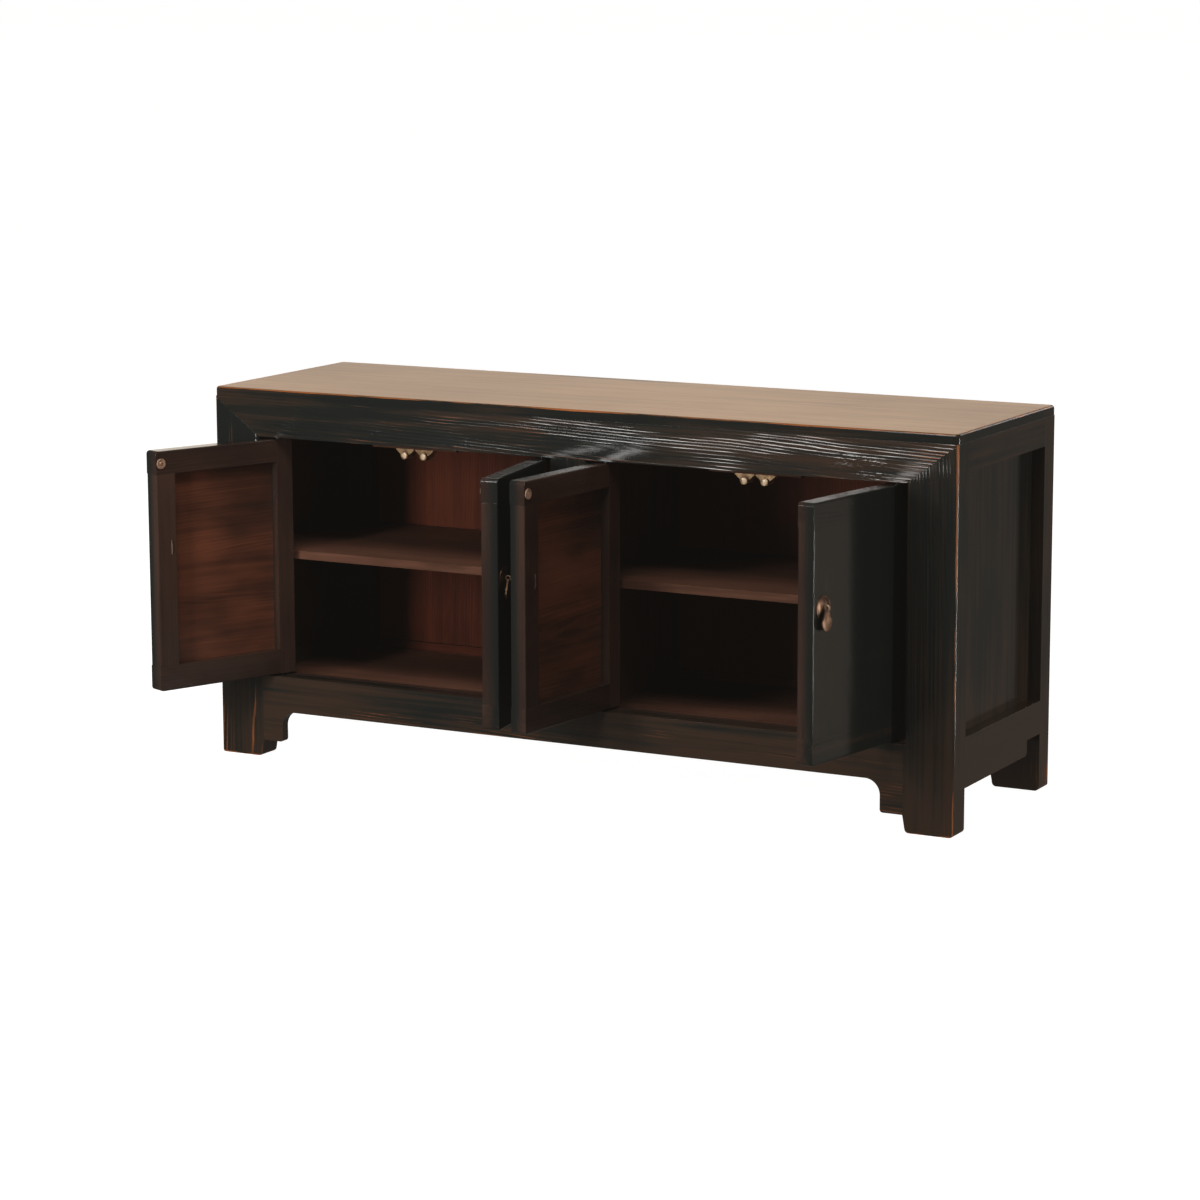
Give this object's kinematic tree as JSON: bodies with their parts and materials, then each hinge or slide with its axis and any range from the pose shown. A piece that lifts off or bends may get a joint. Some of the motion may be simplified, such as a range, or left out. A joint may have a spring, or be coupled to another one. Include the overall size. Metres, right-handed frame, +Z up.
{
  "type": "sideboard",
  "caption": "Low lacquered wooden sideboard with a mitred front frame, bracketed apron, pivoting frame-and-panel doors stored open, drop pulls, a divider and a shelf.",
  "frame": {"origin": "centre of the footprint with the doors open as stored, at floor level", "axes": "+X along the front from left to right, +Y from the front to the back, +Z up"},
  "size_m": [1.345, 0.6276, 0.625],
  "materials": {
    "black_lacquer": "gloss black lacquer over open grain, worn red-brown at the edges",
    "top_lacquer": "satin tan-brown lacquer, worn along the front edge",
    "panel_wood": "thin red-brown lacquer",
    "inside_wood": "matt red-brown",
    "back_wood": "matt brown",
    "brass": "bright",
    "magnet": "matt",
    "bronze": "dark patinated"
  },
  "bodies": {
    "case": {"top_board": "top_lacquer", "front_leg_left": "black_lacquer", "front_leg_right": "black_lacquer", "back_leg_left": "black_lacquer", "back_leg_right": "black_lacquer", "side_top_rail_left": "black_lacquer", "side_top_rail_right": "black_lacquer", "side_bottom_rail_left": "black_lacquer", "side_bottom_rail_right": "black_lacquer", "side_panel_left": "black_lacquer", "side_panel_right": "black_lacquer", "front_top_rail": "black_lacquer", "front_apron": "black_lacquer", "centre_stile": "black_lacquer", "back_top_rail": "back_wood", "back_bottom_rail": "back_wood", "back_panel": "back_wood", "bottom_board": "inside_wood", "shelf": "inside_wood", "shelf_cleats": "inside_wood", "dividers": "inside_wood", "catch_battens": "inside_wood", "catch_bodies": "brass", "catch_magnets": "magnet"},
    "door_1": {"door_1_hinge_stile": "black_lacquer", "door_1_free_stile": "black_lacquer", "door_1_top_rail": "black_lacquer", "door_1_bottom_rail": "black_lacquer", "door_1_panel": "panel_wood", "door_1_strike": "brass", "door_1_pull_plate": "bronze", "door_1_pull_pin": "bronze"},
    "pull_1": {"door_1_pull_pendant": "bronze"},
    "door_2": {"door_2_hinge_stile": "black_lacquer", "door_2_free_stile": "black_lacquer", "door_2_top_rail": "black_lacquer", "door_2_bottom_rail": "black_lacquer", "door_2_panel": "panel_wood", "door_2_strike": "brass", "door_2_pull_plate": "bronze", "door_2_pull_pin": "bronze"},
    "pull_2": {"door_2_pull_pendant": "bronze"},
    "door_3": {"door_3_hinge_stile": "black_lacquer", "door_3_free_stile": "black_lacquer", "door_3_top_rail": "black_lacquer", "door_3_bottom_rail": "black_lacquer", "door_3_panel": "panel_wood", "door_3_strike": "brass", "door_3_pull_plate": "bronze", "door_3_pull_pin": "bronze"},
    "pull_3": {"door_3_pull_pendant": "bronze"},
    "door_4": {"door_4_hinge_stile": "black_lacquer", "door_4_free_stile": "black_lacquer", "door_4_top_rail": "black_lacquer", "door_4_bottom_rail": "black_lacquer", "door_4_panel": "panel_wood", "door_4_strike": "brass", "door_4_pull_plate": "bronze", "door_4_pull_pin": "bronze"},
    "pull_4": {"door_4_pull_pendant": "bronze"}
  },
  "joints": [
    {"name": "door_1_pivot", "type": "hinge", "parent": "case", "child": "door_1", "pos_m": [-0.5605, -0.06316, 0.3425], "axis": [0, 0, -1], "range_deg": [-112.8, 0.2]},
    {"name": "door_2_pivot", "type": "hinge", "parent": "case", "child": "door_2", "pos_m": [-0.0565, -0.06316, 0.3425], "axis": [0, 0, 1], "range_deg": [-99.47, 0.5]},
    {"name": "door_3_pivot", "type": "hinge", "parent": "case", "child": "door_3", "pos_m": [0.0595, -0.06316, 0.3425], "axis": [0, 0, -1], "range_deg": [-95.5, 0.5]},
    {"name": "door_4_pivot", "type": "hinge", "parent": "case", "child": "door_4", "pos_m": [0.5635, -0.06316, 0.3425], "axis": [0, 0, 1], "range_deg": [-80.7, 32.3]},
    {"name": "pull_1_swing", "type": "hinge", "parent": "door_1", "child": "pull_1", "pos_m": [-0.66647, -0.26106, 0.3781], "axis": [0.9219, -0.3875, 0], "range_deg": [-50, 50]},
    {"name": "pull_2_swing", "type": "hinge", "parent": "door_2", "child": "pull_2", "pos_m": [0.001, -0.28016, 0.3781], "axis": [-0.9864, -0.1646, 0], "range_deg": [-50, 50]},
    {"name": "pull_3_swing", "type": "hinge", "parent": "door_3", "child": "pull_3", "pos_m": [0.01718, -0.28362, 0.3781], "axis": [0.9954, -0.0958, 0], "range_deg": [-50, 50]},
    {"name": "pull_4_swing", "type": "hinge", "parent": "door_4", "child": "pull_4", "pos_m": [0.54811, -0.28712, 0.3781], "axis": [-0.9869, 0.1616, 0], "range_deg": [-50, 50]}
  ]
}
